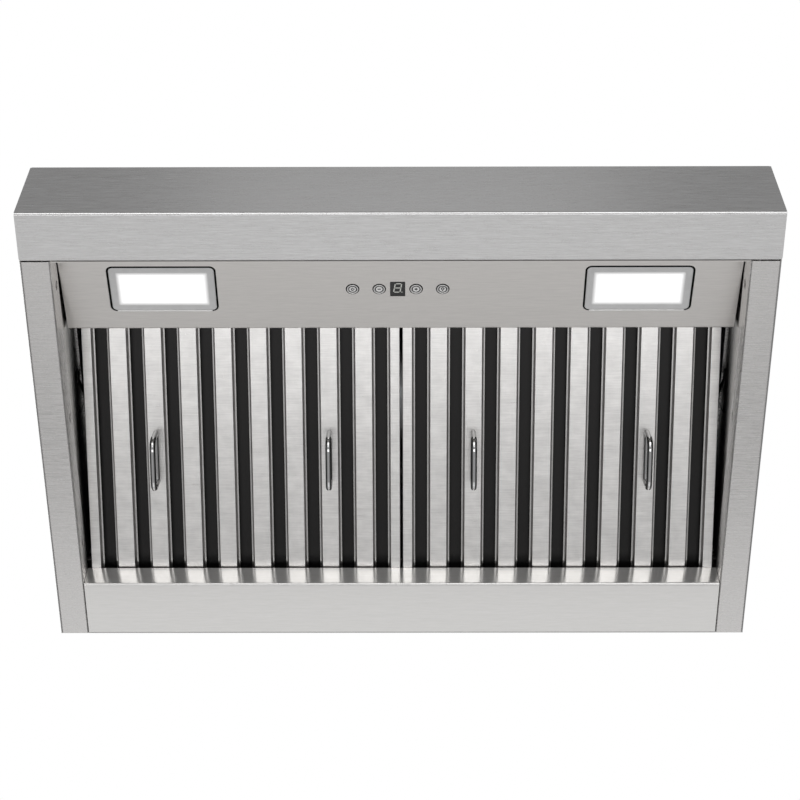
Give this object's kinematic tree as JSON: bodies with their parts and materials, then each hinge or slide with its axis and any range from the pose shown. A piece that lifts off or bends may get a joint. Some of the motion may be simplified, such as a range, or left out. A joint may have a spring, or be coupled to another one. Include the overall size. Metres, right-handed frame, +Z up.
{
  "type": "range hood insert",
  "caption": "Stainless range hood insert with sloped lamp and button panel, swing-down baffle filters with wire handles, double-inlet blower and top duct collar with damper flaps.",
  "frame": {"origin": "middle of the base rectangle, on the plane of the underside rim", "axes": "+X to the right seen from the front, +Y to the wall behind, +Z up to the duct"},
  "size_m": [0.762, 0.522, 0.3063],
  "materials": {
    "brushed_steel": "brushed along the long edges",
    "filter_steel": "fine satin",
    "chrome": "polished",
    "zinc_steel": "galvanised",
    "frosted_lens": "frosted",
    "dark_glass": "gloss",
    "circuit_board": "lacquered board",
    "white_plastic": "moulded",
    "black_plastic": "moulded",
    "aluminium": "mill",
    "motor_paint": "satin paint"
  },
  "bodies": {
    "hood": {"front_panel": "brushed_steel", "side_panel_left": "brushed_steel", "side_panel_right": "brushed_steel", "rear_panel": "brushed_steel", "side_liner_left": "brushed_steel", "side_liner_right": "brushed_steel", "upper_housing": "zinc_steel", "control_panel": "brushed_steel", "lamp_lens_left": "frosted_lens", "lamp_lens_right": "frosted_lens", "lamp_can_left": "aluminium", "lamp_can_right": "aluminium", "lamp_board_left": "circuit_board", "lamp_board_right": "circuit_board", "display_window": "dark_glass", "control_board": "circuit_board", "control_tray": "black_plastic", "filter_stop": "zinc_steel", "filter_spring_left": "zinc_steel", "filter_spring_right": "zinc_steel", "blower_scroll": "zinc_steel", "inlet_ring_left": "zinc_steel", "inlet_ring_right": "zinc_steel", "motor": "motor_paint", "motor_bracket": "zinc_steel", "capacitor": "white_plastic", "capacitor_clip": "zinc_steel", "duct_collar": "zinc_steel", "damper_rod": "chrome", "junction_box": "zinc_steel", "junction_cover": "zinc_steel", "cable_gland": "black_plastic", "lamp_driver": "white_plastic"},
    "filter_left": {"filter_left": "filter_steel", "handle_outer_left": "chrome", "handle_inner_left": "chrome"},
    "filter_right": {"filter_right": "filter_steel", "handle_outer_right": "chrome", "handle_inner_right": "chrome"},
    "button_power": {"button_power": "chrome"},
    "button_minus": {"button_minus": "chrome"},
    "button_plus": {"button_plus": "chrome"},
    "button_light": {"button_light": "chrome"},
    "fan": {"fan_wheel": "aluminium", "motor_shaft": "chrome"},
    "damper_front": {"damper_flap_front": "aluminium"},
    "damper_rear": {"damper_flap_rear": "aluminium"}
  },
  "joints": [
    {"name": "filter_left_swing", "type": "hinge", "parent": "hood", "child": "filter_left", "pos_m": [-0.17325, 0.1926, 0.03047], "axis": [1, 0, 0], "range_deg": [0, 50]},
    {"name": "filter_right_swing", "type": "hinge", "parent": "hood", "child": "filter_right", "pos_m": [0.17325, 0.1926, 0.03047], "axis": [1, 0, 0], "range_deg": [0, 50]},
    {"name": "button_power_press", "type": "slide", "parent": "hood", "child": "button_power", "axis": [0, -0.2351, 0.972], "range_m": [0, 0.0012], "stiffness_N_per_m": 500, "springref_m": -0.001},
    {"name": "button_minus_press", "type": "slide", "parent": "hood", "child": "button_minus", "axis": [0, -0.2351, 0.972], "range_m": [0, 0.0012], "stiffness_N_per_m": 500, "springref_m": -0.001},
    {"name": "button_plus_press", "type": "slide", "parent": "hood", "child": "button_plus", "axis": [0, -0.2351, 0.972], "range_m": [0, 0.0012], "stiffness_N_per_m": 500, "springref_m": -0.001},
    {"name": "button_light_press", "type": "slide", "parent": "hood", "child": "button_light", "axis": [0, -0.2351, 0.972], "range_m": [0, 0.0012], "stiffness_N_per_m": 500, "springref_m": -0.001},
    {"name": "fan_spin", "type": "hinge", "parent": "hood", "child": "fan", "pos_m": [0, 0.03424, 0.182], "axis": [1, 0, 0], "continuous": true},
    {"name": "damper_front_open", "type": "hinge", "parent": "hood", "child": "damper_front", "pos_m": [0, 0.084, 0.28], "axis": [-1, 0, 0], "range_deg": [0, 75]},
    {"name": "damper_rear_open", "type": "hinge", "parent": "hood", "child": "damper_rear", "pos_m": [0, 0.084, 0.28], "axis": [1, 0, 0], "range_deg": [0, 75]}
  ]
}
